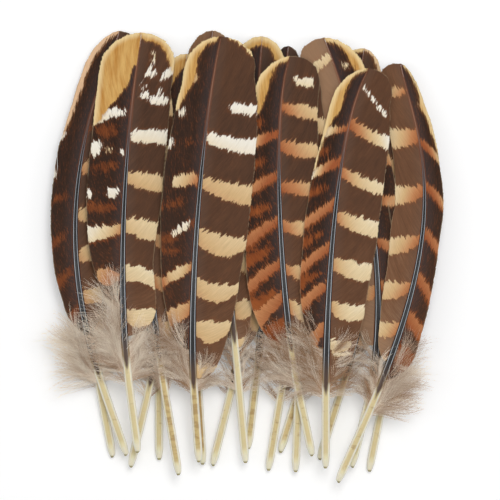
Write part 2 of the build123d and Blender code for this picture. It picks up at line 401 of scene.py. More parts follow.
# %% Feather 16, in the middle
leading[16] = Plumage(
    bars=[
        bar((31.5, 33, 35.3), (3.0, 4.2, 5.5), (0, 0.3, 3.4)),
        bar((48.5, 51.7, 55.4), (3, 3.8, 3.6), (0.2, 0.5, 1.9)),
        bar((67.2, 71.4, 76.4), (3.4, 4.4, 4.6), (0.2, 0.5, 0.7)),
        bar((85.3, 89.5, 95), (3.6, 4.6, 5), (0.2, 0.5, 0.7)),
        bar((99, 104, 109.6), (4.2, 5.6, 7), (0.3, 0.7, 1)),
    ],
    rust=[
        bar(26.5, (1, 3.5, 4.5), 0, 0.55, 1),
        bar((42, 43, 45), (0.5, 3.4, 5), 0, 0.4, 1),
        bar((49, 52, 56), (4, 6, 6), 0),
        bar((61, 62.5, 64.5), (1, 4.4, 5.5), 0, 0.2, 1),
        bar((68, 72, 77), (4, 7, 9), 0),
        bar((77, 81, 85), (1, 5, 7.5), 0, 0.25, 1),
        bar((86, 90, 96), (4, 6.5, 9), 0),
        bar((96, 100, 104), (2, 6, 8), 0, 0.2, 1),
        bar((112, 116, 119), (10, 12, 14), 0, 0, 1),
    ],
    rim=((-2, 1.2), (4, 2.4), (8, 4.4), (12, 5.4), (17, 4.4), (20, 3.8), (23, 2.4), (26, 0)),
    ground=-0.04,
    shift=0.8,
)
trailing[16] = Plumage(
    bars=[
        bar((8.5, 10.5, 12), (2.2, 3.6, 3.8), 3.4, 0.3, 0.85),
        bar((20.4, 22.7, 24.4), (2.6, 5.2, 5), (0.3, 1.7, 2.4)),
        bar((36.8, 38.9, 40), (4, 6, 4.8), (0.2, 1.5, 2.2)),
        bar((53.8, 55.2, 56.3), (4, 5.6, 5.2), (0.2, 1.2, 2.2)),
        bar((70, 72, 73), (3.6, 5.6, 5.6), (0.3, 1.8, 2.4)),
        bar((88.2, 90, 91.5), (3.2, 5.6, 5.6), (0.5, 2, 2.6)),
        bar((103, 106, 108), (4, 6.5, 6), (0.6, 2.4, 2.6)),
    ],
    rust=[bar((20.4, 22, 24), (5, 2, 0), 0, 0, 0.5), bar((53.8, 55, 56), (6, 4, 0), 0, 0, 0.5)],
    ground=-0.1,
    shift=0.8,
)
count_bars(16)

# %% Feather 20, second from the right
leading[20] = Plumage(
    bars=[
        bar((25.2, 26.5, 28), (2.4, 3, 5.8), (0.1, 1.6, 4.4)),
        bar((39, 42, 46.2), (3.4, 4.4, 4), (0.2, 0.6, 3.9)),
        bar((56.3, 61.4, 66.8), (3.6, 4.4, 4.4), (0.2, 0.7, 1)),
        bar((74.6, 79.5, 86), (3.6, 4.6, 4.6), (0.2, 0.6, 0.8)),
        bar((91, 95.4, 101), (3.8, 4.8, 5), (0.2, 0.7, 0.9)),
        bar((108.2, 112, 116.5), (4.6, 6, 6), (0.3, 0.9, 1.3)),
    ],
    rust=[
        bar((34, 35, 36.5), (0.5, 2, 5.5), 0, 0.55, 1),
        bar((39, 42, 46), (4, 5, 5), 0),
        bar((49, 51.5, 54), (0.5, 2.5, 5.5), 0, 0.35, 1),
        bar((57, 62, 67), (4, 6, 7), 0),
        bar((67, 71, 75), (0.5, 3, 6.5), 0, 0.3, 1),
        bar((75, 80, 86), (4, 6, 8), 0),
        bar((84, 88, 92), (0.5, 3, 6.5), 0, 0.3, 1),
        bar((91, 96, 101), (5, 6.5, 8), 0),
        bar((118, 122, 126), (7, 8, 8), 0),
    ],
    rim=((-2, 0.8), (3, 1.6), (6, 2.6), (14, 5.0), (18, 4.6), (22, 3), (27, 1.2), (42, 0.6), (46, 0)),
    ground=-0.08,
    shift=0.7,
)
trailing[20] = Plumage(
    bars=[
        bar((5.5, 12, 19.5), (0.6, 1.9, 3.2), 4, 0.12, 0.92),
        bar((22.4, 26.7, 29.6), (4, 4.8, 5.4), (0.2, 1.9, 4)),
        bar((42.5, 46.7, 48.8), (3.5, 5, 5), (0.5, 2.5, 3.1)),
        bar((61.2, 64.6, 65.9), (4, 6.4, 6), (0.8, 2.7, 3.1)),
        bar((81, 83.6, 83.8), (4.6, 7, 7), (1.2, 2.8, 3)),
        bar((99, 101.3, 100.8), (4.5, 7, 6), (1.2, 2.9, 3)),
        bar((115, 116, 113), (4.5, 5, 3), 3, 0.05, 0.8),
        bar((120, 119, 118.5), (0.5, 2, 1.4), 3.4, 0.3, 0.95),
    ],
    rust=[bar((22.4, 26, 29), (5.5, 3, 0), 0, 0, 0.5), bar((42.5, 46, 48), (5, 3, 0), 0, 0, 0.5)],
    shift=1.5,
)
count_bars(20)

# %% Feather 17, on the right
leading[17] = Plumage(
    bars=[
        bar(16.4, 2.4, 2.4, 0.5, 1),
        bar((31, 33.8, 37), (2.4, 4, 4), (0.2, 0.5, 2.8)),
        bar((48.7, 51.5, 55.5), (3.4, 4.4, 4), (0.3, 0.4, 1.7)),
        bar((67.8, 70.8, 74.8), (3.4, 4.6, 4), (0.3, 0.4, 0.9)),
        bar((86.4, 90, 94.6), (3.8, 5, 4), (0.3, 0.4, 0.6)),
        bar((103.2, 106.6, 110.6), (4.2, 5.5, 5), (0.3, 0.4, 0.6)),
    ],
    rust=[
        bar((49, 52, 56), (4, 6, 6), 0),
        bar((68, 71, 75), (4, 6, 7), 0),
        bar((87, 90, 95), (5, 7, 7), 0),
        bar((104, 107, 111), (6, 8, 8), 0),
        bar((118, 121, 124), (9, 10, 10), 0),
    ],
    rim=((0, 0.4), (5, 0.7), (13, 1.2), (17, 2.3), (22, 1.0), (26, 1.4), (32, 0.5), (37, 0)),
    ground=0.12,
)
trailing[17] = Plumage(
    bars=[
        bar((10, 11.5, 13), (3, 3.6, 4), (0.7, 1.8, 2.4), 0.06, 1),
        bar((27.5, 30, 30.6), (5, 6.5, 8), (0.4, 1.7, 2.9)),
        bar((49.7, 52.7, 53.9), (4.6, 6.5, 8), (0.4, 1.5, 3)),
        bar((70.2, 73.7, 75.4), (4, 6.5, 7.5), (0.3, 1.7, 2.6)),
        bar((90.3, 93.2, 94), (4, 6.6, 7.4), (0.4, 1.7, 2.4)),
        bar((108, 109.9, 110.2), (4, 6.4, 7), (0.5, 1.8, 2.5)),
        bar((122, 123.5, 124), (3.5, 5, 5), (0.6, 1.4, 1.9)),
    ],
    rust=[bar((28, 30, 31), (7, 5, 0), 0, 0, 0.6), bar((131, 132, 133), (6, 6, 6), 0)],
    ground=0.18,
    shift=1.0,
)
count_bars(17)

# %% The three redder feathers
for number in (16, 17, 20):
    leading[number] = leading[number]._replace(redness=0.85)
print("redness of each top feather", {number: side.redness for number, side in leading.items()})

# %% [markdown]
# The feathers below show only a tip, an edge or a strip between the others, so their bars are set at
# even distances, and only what shows is chosen one by one.

# %% The feathers below
first_on_top = 15
lead_rim = ((0, 1.2), (8, 2.4), (18, 2.2), (26, 0))
broad_rim = ((0, 3.4), (8, 3.8), (16, 3.0), (24, 0))
for number in range(1, first_on_top):
    leading[number] = Plumage(even_bars(30, 18.5, 6, (3, 4, 4), (0.3, 0.7, 1.6), number), (), lead_rim)
    trailing[number] = Plumage(even_bars(22, 19, 6, (4, 6.5, 6.5), (0.8, 1.9, 2.5), number + 50))
trailing[1] = trailing[1]._replace(rim=((0, 0.7), (5, 1.5), (14, 1.9), (22, 0)), ground=-0.15, blush=0.5)
leading[1] = leading[1]._replace(ground=-0.1)
leading[2] = Plumage(ground=-0.1)
trailing[2] = Plumage(ground=-0.25)
for chart in (leading, trailing):
    places = (20, 39, 59, 79.4, 97.4, 112)
    chart[7] = Plumage([bar(at, 6.5, (1.2, 1.9, 2.1)) for at in places], ground=-0.05)
    chart[10] = chart[10]._replace(rim=broad_rim, ground=-0.2)
    chart[12] = chart[12]._replace(rim=((0, 5), (8, 6), (14, 4), (20, 0)))
leading[8] = leading[8]._replace(
    bars=[bar(12.6, 2.2, 3, 0.28, 0.46), bar(12.8, 3, 2.8, 0.7, 1), *leading[8].bars],
    rim=((0, 1.0), (4, 2.2), (8, 3.4), (12, 4.2), (20, 4.1), (28, 3), (32, 0)),
)
trailing[8] = Plumage(
    bars=[
        bar((8, 12, 16.5), (2.6, 4.4, 4.6), 2.7, 0.03, 1),
        *even_bars(34, 18, 5, 6, (0.8, 1.9, 2.5), 8),
    ],
    ground=0.6,
)
leading[9] = leading[9]._replace(ground=0.75, rim=no_rim)
trailing[9] = trailing[9]._replace(ground=0.5)
trailing[14] = Plumage([bar(at, (6, 8, 6), (1.6, 2.2, 2.4)) for at in (52, 71, 90, 109.5, 125)])
print("feathers in the chart", len(leading))

# %% [markdown]
# ## The vanes
#
# A vane is one sheet of parallel barbs that leave the rachis at a slant and bend towards the tip. A
# grid is the natural start: each of its rows becomes one barb. A row starts on the rachis and ends on
# the vane's outline, further up, and so the ragged edges of the bars can later run along the barbs, as
# they do on the real feather. Every second row lies a little lower, which combs the surface in relief.
#
# The CAD blades end rather pointed, and real vanes end round. So the outline comes first: the blade's
# own width, with a quarter of an ellipse laid over it at the tip.

# %% Draw the outline
round_length = 14 * mm
wide_length = 70 * mm
base_narrowing = 0.06
# the width of the left and right side, in millimetres, where the round tip begins
round_width = {
    1: (9, 7),
    2: (6.5, 7),
    8: (14.8, 12.4),
    9: (10, 10),
    10: (11, 11),
    12: (9.5, 9),
    15: (9.4, 11),
    16: (12, 15.6),
    17: (12.5, 5.2),
    18: (15.6, 15.8),
    19: (12.8, 17),
    20: (10, 14.8),
}
usual_round_width = (8, 8)
# a few tips lie a little past the CAD blade's, or short of it, and a few vanes stay wide to their base
tip_shift = {15: 1.0, 16: -0.5, 18: 1.9, 19: -1.6, 20: -1.7}
base_width = {(18, 1): 14.8, (17, 1): 10.0, (15, -1): 8.2}


def quarter_round(share):
    """The height of a quarter of a circle: 0 at its start and 1 at its full width."""
    return np.sqrt(1 - (1 - share) ** 2)


def fuller(number, feather, side):
    """The vane's width at fine steps along it, from its base to its tip, with rounder ends."""
    tip = feather.tip + tip_shift.get(number, 0) * mm
    reach = np.append(np.arange(side.reach[0], tip, 0.5 * mm), tip)
    width = np.interp(reach, side.reach, side.outer)
    up = (reach - reach[0]) / round_length
    base = base_width.get((number, side.hand), 0) * mm * quarter_round(np.minimum(up, 1))
    width = np.maximum(width, base * np.maximum(1 - up * base_narrowing, 0))
    down = np.clip((tip - reach) / round_length, 0, 1)
    left, right = round_width.get(number, usual_round_width)
    full = max((left if side.hand < 0 else right) * mm, np.interp(tip - round_length, reach, width))
    width = np.where(tip - reach < wide_length, np.maximum(width, full), width)
    return reach, np.where(down < 1, full * quarter_round(down), width)


print("tips rounded by hand", len(round_width))

# %% Curves and distances
def along_line(points, shares):
    """Points at these shares of a polyline's length."""
    steps = np.linalg.norm(np.diff(points, axis=0), axis=1)
    places = np.insert(np.cumsum(steps), 0, 0) / steps.sum()
    return np.stack([np.interp(shares, places, points[:, axis]) for axis in (0, 1)], axis=-1)


def three_points(values, share):
    """A smooth curve through a value at 0, at one half and at 1."""
    start, half, end = values
    return start + (4 * half - 3 * start - end) * share + 2 * (start + end - 2 * half) * share**2


def distance_to(points, line):
    """How far each point is from the nearest part of a polyline."""
    best = np.full(len(points), np.inf)
    for a, d in zip(line[:-1], np.diff(line, axis=0)):
        share = np.clip(((points - a) @ d) / max(d @ d, 1e-12), 0, 1)
        best = np.minimum(best, np.linalg.norm(points - a - share[:, None] * d, axis=1))
    return best


print("a bar 2, 4 and 3 mm thick is", three_points((2, 4, 3), 0.25), "mm thick a quarter of the way out")

# %% Lay the barbs
barb_pitch = 0.45 * mm
barb_steps = 16
barb_bow = 0.11
root_depth = 0.55
tip_margin = 1.2 * mm
length_spread = 0.006
edge_dip = 0.012
split_reach = 0.03
sweep = {"leading": 2.0, "trailing": 1.65}
# where barbs have come unhooked: how far up the vane, how far out the split starts, how wide it opens
splits_of = {
    (20, "trailing"): [(0.05, 0.45, 0.006)],
    (15, "leading"): [(0.34, 0.8, 0.003)],
}
Vane = namedtuple("Vane", "number feather side kind plumage reach width rows")


def plan_vane(number, feather, side, kind, plumage):
    """A vane with its outline's reach and width, and its number of barbs."""
    reach, width = fuller(number, feather, side)
    rows = int((reach[-1] - reach[0]) / barb_pitch)
    return Vane(number, feather, side, kind, plumage, reach, width, rows)


def outline_of(vane):
    """The vane's outline from its base round to its tip: reach, and place across the chord."""
    middle = np.interp(vane.reach, vane.feather.reach, vane.feather.middle)
    edge = np.stack([vane.reach, middle + vane.side.hand * vane.width], axis=-1)
    start = [vane.reach[0], middle[0] + vane.side.hand * vane.side.inner[0]]
    return np.concatenate([[start], edge])


def splits_in(vane):
    """The vane's splits, each halfway between two barbs."""
    splits = splits_of.get((vane.number, vane.kind), [])
    return [((np.round(place * vane.rows) + 0.5) / vane.rows, start, push) for place, start, push in splits]


def lay_barbs(vane, outline, out, order):
    """Each spot on its barb, seen from above, with where its barb starts and how long that is."""
    feather, hand = vane.feather, vane.side.hand
    base, tip = vane.reach[0], vane.reach[-1]
    root_reach = base + (tip - tip_margin - base) * order
    radius = np.interp(root_reach, feather.reach, feather.radius)
    root_place = np.interp(root_reach, feather.reach, feather.middle) + hand * radius * root_depth
    root = np.stack([root_reach, root_place], axis=-1)
    # a split pushes the barbs beside it apart
    ends = 1 - (1 - order) ** sweep[vane.kind]
    for row, _, push in splits_in(vane):
        ends = ends + push * np.sign(order - row) * np.exp(-np.abs(order - row) / split_reach)
    end = along_line(outline, np.clip(ends, 0, 1))
    # no two barbs are quite as long as each other
    draw = np.random.default_rng(1000 + vane.number * 2 + hand)
    uneven = np.interp(order * vane.rows, np.arange(vane.rows + 1), draw.normal(0, 1, vane.rows + 1))
    length = 1 + length_spread * uneven - edge_dip * np.abs(np.sin(order * 37 + vane.number))
    span = (end - root) * length[:, None]
    # each barb is a curve that bows outwards and towards the vane's base
    side_step = np.stack([-np.abs(span[:, 1]), hand * np.abs(span[:, 0])], axis=-1)
    knee = root + span * 0.5 + side_step * barb_bow
    t = out[:, None]
    flat = (1 - t) ** 2 * root + 2 * t * (1 - t) * knee + t**2 * (root + span)
    return flat, root_reach, np.linalg.norm(span, axis=1)


print("barbs along a vane of 140 mm", int(140 * mm / barb_pitch))

# %% Lift them onto the blade
ridge_height = 0.02 * mm
wave_height = 0.12 * mm
narrowest = 0.3 * mm


def across_vane(vane, flat):
    """How far out from the shaft's middle each spot lies, and how wide the vane is there."""
    reach, place = flat.T
    line = np.interp(reach, vane.feather.reach, vane.feather.middle)
    return np.maximum((place - line) * vane.side.hand, 0), np.interp(reach, vane.reach, vane.width)


def heights_on(vane, flat, out, order):
    """The height of each spot on the CAD blade, with the barbs' ridges and slow waves."""
    side = vane.side
    offset, width = across_vane(vane, flat)
    lines = (side.inner, side.inner_z, side.outer_z)
    inner, low, high = (np.interp(flat[:, 0], side.reach, line) for line in lines)
    rise = np.clip((offset - inner) / np.maximum(width - inner, narrowest), -0.3, 1)
    ridge = np.where(np.round(order * vane.rows) % 2 == 0, 1, -1) * ridge_height * np.minimum(1, out * 6)
    wave = np.sin(order * 23 + vane.number) * np.sin(out * 3 + order * 9) * wave_height * out
    return low + (high - low) * rise + ridge + wave


print("relief of the barbs in mm", 2 * ridge_height / mm)

# %% [markdown]
# The chart has to reach the material. Each corner of the grid is looked up in the chart, and what it
# finds is written on the mesh as attributes: how deep it lies inside the nearest bar, patch of rust or
# rim, and where it lies on its barb. The material then only has to turn depths into colours.

# %% Look up the chart
# in millimetres: how deep a spot outside every bar is, where a bar without an end ends, and how thin
# a bar may get
far_away, endless, thinnest_bar = -30.0, 99.0, 0.2


def bars_here(bars, below, share, width):
    """How deep each spot lies inside the nearest bar, in millimetres, that bar's hue, and how far up it."""
    depth, hue, upper = (np.full(len(below), value) for value in (far_away, 2.0, 0.0))
    for item in bars:
        half = np.maximum(three_points(item.thick, share), thinnest_bar) / 2
        up = three_points(item.at, share) - below
        # a bar that stops short of the shaft or the edge has a round end
        ends = np.full(len(below), endless)
        if item.span[0] > 0:
            ends = np.minimum(ends, (share - item.span[0]) * width)
        if item.span[1] < 1:
            ends = np.minimum(ends, (item.span[1] - share) * width)
        inside = half - np.hypot(up, np.maximum(half - ends, 0))
        closer = inside > depth
        depth = np.where(closer, inside, depth)
        hue = np.where(closer, three_points(item.hue, share), hue)
        upper = np.where(closer, np.clip(up / half, -1, 1), upper)
    return depth, hue, upper


def ground_here(kind, age):
    """How pale the ground is: age runs from 0 at the tip, which grew first, to 1 at the base."""
    near_tip = np.exp(-((age / 0.16) ** 2))
    if kind == "leading":
        return 0.05 + 0.36 * age**2.2 + 0.08 * near_tip
    return 0.34 + 0.3 * age + 0.3 * age**8 + 0.15 * near_tip


middle_of_bar = bars_here([bar(20, 4, 2)], np.array([20.0]), np.array([0.5]), 10.0)[0][0]
print("the middle of a bar 4 mm thick is", middle_of_bar, "mm deep")

# %% Write it on the mesh
def write(mesh, name, *values):
    """Keep one value, or three, with each vertex of a mesh."""
    kind, key = ("FLOAT", "value") if len(values) == 1 else ("FLOAT_VECTOR", "vector")
    rows = [np.broadcast_to(value, len(mesh.vertices)) for value in values]
    layer_of_values = mesh.attributes.new(name, kind, "POINT")
    layer_of_values.data.foreach_set(key, np.stack(rows, axis=-1).astype(np.float32).ravel())


def write_chart(mesh, vane, outline, flat, out, root_reach, barb_length):
    """What the material needs to know about each spot, in millimetres."""
    plumage, reach, tip = vane.plumage, flat[:, 0], vane.reach[-1]
    offset, width = across_vane(vane, flat)
    share = np.clip(offset / np.maximum(width, narrowest), 0, 1)
    below = (tip - reach) / mm - plumage.shift
    edge = distance_to(flat, outline[::2]) / mm
    pale, hue, upper = bars_here(plumage.bars, below, share, width / mm)
    rust = bars_here(plumage.rust, below, share, width / mm)[0]
    rim_below, rim_width = np.array(plumage.rim, float).T
    gold = np.interp(below, rim_below, rim_width) - edge
    gold = np.where(below > rim_below[-1], far_away, gold)
    ground = ground_here(vane.kind, np.clip(below / below.max(), 0, 1)) + plumage.ground
    from_shaft = (offset - np.interp(reach, vane.feather.reach, vane.feather.radius)) / mm
    # the last of these gives each vane its own part of the noise
    write(mesh, "barb", (tip - root_reach) / mm, out * barb_length / mm, vane.number * 7.3 + vane.side.hand)
    write(mesh, "marks", pale, hue, rust)
    write(mesh, "edges", gold, edge, ground)
    write(mesh, "along", from_shaft, upper, plumage.blush)
    write(mesh, "redness", plumage.redness)


print("the middle of a trailing vane is", round(ground_here("trailing", 0.5), 2), "of the way to pale")

# %% Tools for every piece
def new_grid(name, columns, rows):
    """A flat grid of one unit, alone in the selection, and the shares of its corners."""
    bpy.ops.object.select_all(action="DESELECT")
    bpy.ops.mesh.primitive_grid_add(x_subdivisions=columns, y_subdivisions=rows, size=1)
    piece = bpy.context.object
    piece.name = piece.data.name = name
    places = np.empty(len(piece.data.vertices) * 3)
    piece.data.vertices.foreach_get("co", places)
    return piece, places.reshape(-1, 3)[:, :2] + 0.5


def put_corners(piece, feather, reach, place, height):
    """Move a piece's corners to where they lie on a feather."""
    spots = reach[:, None] * feather.ahead + place[:, None] * feather.across
    spots[:, 2] = height
    piece.data.vertices.foreach_set("co", spots.ravel())


def turn_outwards(piece):
    """Turn a closed piece's faces outwards: the volume counted from them has to be positive."""
    mesh = piece.data
    mesh.calc_loop_triangles()
    places = np.empty(len(mesh.vertices) * 3)
    mesh.vertices.foreach_get("co", places)
    order = np.empty(len(mesh.loop_triangles) * 3, int)
    mesh.loop_triangles.foreach_get("vertices", order)
    a, b, c = places.reshape(-1, 3)[order.reshape(-1, 3)].transpose(1, 0, 2)
    if np.sum(a * np.cross(b, c)) < 0:
        bpy.ops.object.mode_set(mode="EDIT")
        bpy.ops.mesh.select_all(action="SELECT")
        bpy.ops.mesh.flip_normals()
        bpy.ops.object.mode_set(mode="OBJECT")


first_loose = 17


def body_of(number):
    """The top four feathers lift off, and the rest are one pile."""
    return f"quill_{number}" if number >= first_loose else "pile"


def finish_piece(piece, material, number, replaced):
    """Give a piece its finish and its body, and hide the CAD node that it stands for."""
    piece.data.materials.clear()
    piece.data.materials.append(material)
    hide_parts(replaced)
    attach(piece, body_of(number))


print("feathers that lift off", [body_of(number) for number in feathers if body_of(number) != "pile"])

# %% [markdown]
# A grid with its corners in place is still a sheet without thickness. Where barbs have come unhooked,
# the faces between two of them are deleted. Solidify then gives the sheet its thickness, and smooth
# shading by angle keeps its rim crisp.

# %% Make one vane
sheet_thickness = 0.16 * mm
crisp_angle = 0.8


def open_splits(piece, vane, shares):
    """Delete the faces between the barbs on both sides of each split."""
    bpy.ops.object.mode_set(mode="EDIT")
    bpy.ops.mesh.select_all(action="DESELECT")
    bpy.ops.object.mode_set(mode="OBJECT")
    for row, start, _ in splits_in(vane):
        for face in piece.data.polygons:
            out, order = shares[list(face.vertices)].mean(0)
            if abs(order - row) < 0.3 / vane.rows and out > start:
                face.select = True
    bpy.ops.object.mode_set(mode="EDIT")
    bpy.ops.mesh.delete(type="FACE")
    bpy.ops.object.mode_set(mode="OBJECT")


def make_vane(vane, material):
    """Lay a vane's barbs on its blade, write its chart on them, and make a sheet of them."""
    name = vane.feather.name
    piece, shares = new_grid(f"{name}_{vane.kind}_vane", barb_steps, vane.rows)
    out, order = shares.T
    outline = outline_of(vane)
    flat, root_reach, barb_length = lay_barbs(vane, outline, out, order)
    put_corners(piece, vane.feather, *flat.T, heights_on(vane, flat, out, order))
    write_chart(piece.data, vane, outline, flat, out, root_reach, barb_length)
    open_splits(piece, vane, shares)
    thicken = piece.modifiers.new("thickness", "SOLIDIFY")
    thicken.thickness, thicken.offset = sheet_thickness, 0
    bpy.ops.object.modifier_apply(modifier=thicken.name)
    turn_outwards(piece)
    bpy.ops.object.shade_smooth_by_angle(angle=crisp_angle)
    finish_piece(piece, material, vane.number, f"{name}_vanes")
    return piece


print("vanes with a split", sorted(splits_of))

# %% [markdown]
# ## The vanes' finish: barbed keratin
#
# A vane is a mat of keratin barbs, dyed through by melanin. It has a satin sheen and no polish. Its
# colour is built up in layers, as the chart says: brown ground, rufous mottling, pale bars, golden rim.
# Each layer's edge is moved to and fro by noise that is stretched along the barbs. Real barbs lie
# 0.4 mm apart, which is too fine to show, so the streaks are drawn about 1.7 mm wide and 13 mm long,
# with a finer comb of 0.3 mm in them.

# %% The barbs' grain
Grain = namedtuple("Grain", "streak comb cloud blot freckle")


def barb_grain(tree):
    """Five noises that follow the barbs. Fineness is per millimetre across and along them."""
    barb = add(tree, "Attribute", attribute_name="barb").outputs["Vector"]
    return Grain(
        streak=noise(tree, barb, (0.6, 0.078, 0.6), 5),
        comb=noise(tree, barb, (3.0, 0.15, 3.0), 2),
        cloud=noise(tree, barb, (0.16, 0.08, 0.32), 4),
        blot=noise(tree, barb, (0.38, 0.304, 0.38), 3),
        freckle=noise(tree, barb, (1.5, 0.75, 1.5), 5),
    )


print("noises in a vane", ", ".join(Grain._fields))

# %% [markdown]
# The ground is melanin, near black where there is much of it and pale brown where there is little.
# Beside the shaft a cooler painted sheen lies over it, and a thin reddish line where the barbs leave
# it. Rust is a second, redder pigment, soft at its edges and broken up into specks.

# %% Ground and rust
def ground_layer(tree, grain, ground, from_shaft, stops, painted_sheen):
    """Melanin brown, with a painted sheen beside the shaft and a reddish line along it."""
    level = total(
        tree, ground, (grain.cloud, 0.1), (grain.comb, 0.06), (grain.freckle, 0.03), (grain.streak, 0.05)
    )
    shade = add(tree, "ValToRGB", {0: level}, stops=stops).outputs[0]
    # a painted sheen, cooler and lighter than the ground, within about 2.6 mm of the shaft
    shade = layer(tree, shade, painted_sheen, total(tree, 2.6, (from_shaft, -1.0)), 2.4, 0.2)
    return layer(tree, shade, "#74442f", total(tree, 0.22, (from_shaft, -1.0)), 0.2, 0.5)


def rust_layer(tree, grain, shade, rust, redness, dusting):
    """Rust where the chart has it, and a dusting of it all over."""
    rufous = layer(tree, "#7c3d1c", "#9c5528", grain.cloud, 1.0)
    speckled = total(tree, rust, (grain.streak, 1.2), (grain.freckle, 2.4), (grain.blot, 1.4), -0.5)
    shade = layer(tree, shade, rufous, speckled, 1.5, redness)
    return layer(tree, shade, rufous, total(tree, grain.freckle, (grain.blot, 0.4), -0.35), 0.4, dusting)


dark_ground = [(0.0, "#261911"), (0.2, "#312118"), (0.45, "#452d1f"), (0.7, "#644530"), (1.0, "#8b694c")]
brown_ground = [(0.0, "#2a1e17"), (0.3, "#452f22"), (0.5, "#583b29"), (0.75, "#704e37"), (1.0, "#927156")]
print("browns in each ground", len(dark_ground), len(brown_ground))

# %% [markdown]
# A bar's upper edge is drawn out into spikes along the barbs, and its lower edge is softer. A brown
# fringe runs round it, and the ground shows through where it is worn. Its tint follows its hue, from
# rufous to white. The golden rim is two golds, paler at the very edge, and on some feathers pink.

# %% Bars and rim
bar_tints = [(0.0, "#97532f"), (0.25, "#b97e52"), (0.5, "#ceac7d"), (0.75, "#dfcaa2"), (1.0, "#ece6d9")]


def bar_layer(tree, grain, shade, pale, hue, upper):
    """Pale bars, spiked above, with a brown fringe and worn spots."""
    upper_half = add(tree, "Math", {0: upper, 1: 0.0}, operation="MAXIMUM").outputs[0]
    spikes = total(tree, 0.9, (upper_half, 1.17))
    inside = total(tree, pale, (grain.streak, spikes), (grain.blot, 1.1), (grain.freckle, 0.9))
    shade = layer(tree, shade, "#8a4f2a", total(tree, inside, 0.9), 0.9, 0.22)
    hue_here = total(tree, (hue, 0.25), (grain.comb, 0.03), (grain.freckle, 0.03), (upper, 0.07), -0.03)
    tint = add(tree, "ValToRGB", {0: hue_here}, stops=bar_tints).outputs[0]
    worn = {0: total(tree, grain.freckle, (grain.streak, -0.5), -0.95), 1: -0.3, 2: 0.3, 3: 1.0, 4: 0.55}
    whole = add(tree, "MapRange", worn, interpolation_type="SMOOTHSTEP").outputs[0]
    return layer(tree, shade, tint, inside, 0.3, whole)


def rim_layer(tree, grain, shade, gold, edge, blush):
    """The golden or pink rim, with a brown line inside it."""
    golden = layer(tree, "#b6803d", "#d4ab68", total(tree, grain.cloud, (grain.streak, 0.4)), 0.8)
    golden = layer(tree, golden, "#e6cc98", total(tree, 1.6, (edge, -1.0), (grain.streak, 0.5)), 1.4)
    golden = add(tree, "Mix", {0: blush, 6: golden, 7: "#ddb695"}, data_type="RGBA").outputs[2]
    rim = total(tree, gold, (grain.streak, 0.7), (grain.blot, 0.8), (grain.freckle, 0.5))
    shade = layer(tree, shade, "#8f5a30", total(tree, rim, 0.7), 0.6, 0.4)
    return layer(tree, shade, golden, rim, 0.28)


print("tints from rufous to white", len(bar_tints))

# %% Vane material
def vane_material(name, painted_sheen, ground_stops, dusting):
    """All the layers of a vane, satin and a little ridged."""
    material, tree = new_material(name)
    grain = barb_grain(tree)
    pale, hue, rust = written(tree, "marks")
    gold, edge, ground = written(tree, "edges")
    from_shaft, upper, blush = written(tree, "along")
    redness = add(tree, "Attribute", attribute_name="redness").outputs["Fac"]

    shade = ground_layer(tree, grain, ground, from_shaft, ground_stops, painted_sheen)
    shade = rust_layer(tree, grain, shade, rust, redness, dusting)
    shade = bar_layer(tree, grain, shade, pale, hue, upper)
    shade = rim_layer(tree, grain, shade, gold, edge, blush)
    # the barbs' very tips are worn pale, and the barbs are a little lighter and darker in fine streaks
    worn = total(tree, 0.3, (edge, -1.0), (grain.streak, -0.14))
    shade = layer(tree, shade, "#b39c7c", worn, 0.2, 0.35)
    comb_streaks = total(tree, (grain.comb, 0.14), 1.0)
    shade = add(tree, "VectorMath", {0: shade, "Scale": comb_streaks}, operation="SCALE").outputs[0]

    height = total(tree, (grain.comb, 0.6), (grain.streak, 0.4))
    relief = add(tree, "Bump", {"Height": height, "Strength": 0.3, "Distance": 0.05 * mm})
    satin = {"Roughness": 0.55, "IOR": 1.55, "Specular IOR Level": 0.1, "Normal": relief.outputs[0]}
    finish_material(tree, {"Base Color": shade, **satin})
    return material


# the second colour of each finish is the painted sheen beside the shaft
leading_finish = vane_material("barbed keratin, dark leading vane", "#504c50", dark_ground, 0.3)
trailing_finish = vane_material("barbed keratin, brown trailing vane", "#66554b", brown_ground, 0.06)
print("nodes in a vane's finish", len(leading_finish.node_tree.nodes))

# %% Make all the vanes
from_other_wing = (6, 8, 17)
vane_faces = 0
for number, feather in feathers.items():
    # the leading vane is on the left, but on the right of the three feathers from the other wing
    front, back = reversed(feather.sides) if number in from_other_wing else feather.sides
    for side, kind, chart, finish in (
        (front, "leading", leading, leading_finish),
        (back, "trailing", trailing, trailing_finish),
    ):
        piece = make_vane(plan_vane(number, feather, side, kind, chart[number]), finish)
        vane_faces += len(piece.data.polygons)
print("faces in the vanes", vane_faces)

# %% [markdown]
# ## The shafts
#
# The barrel is a hollow horn tube, cream and half clear, with a tiny hole in its rounded end. The
# rachis carries on from it, dark and glossy, and ends as a hair at the tip. A grid rolled round the
# feather's line makes both in one skin. Its first rows turn inwards, which makes the hole. Past the
# barrel its back is pressed in a little between two low ridges, as on the real rachis.

# %% Roll one shaft
around_steps = 20
shaft_rows = 150
# the nub, ring by ring from inside the hole: how far past the root, and the radius, in millimetres
nub_rings = [(2.2, 0.0), (2.2, 0.28), (0.25, 0.3), (0.02, 0.36), (0.0, 0.45), (0.05, 0.55)]
hole_angle = 0.9
dense_share = 0.2
thinning_length = 60 * mm
thinned = 0.3
rachis_from, rachis_at = 38, 50
# the groove along the rachis's back, and the flat along its belly, beside a radius of 1
groove_depth, groove_width = 0.12, 0.33
belly_depth, belly_width = 0.2, 0.4
wobbly_from, wobbly_to, wobble_depth = 6, 34, 0.02
weld_distance = 0.002 * mm


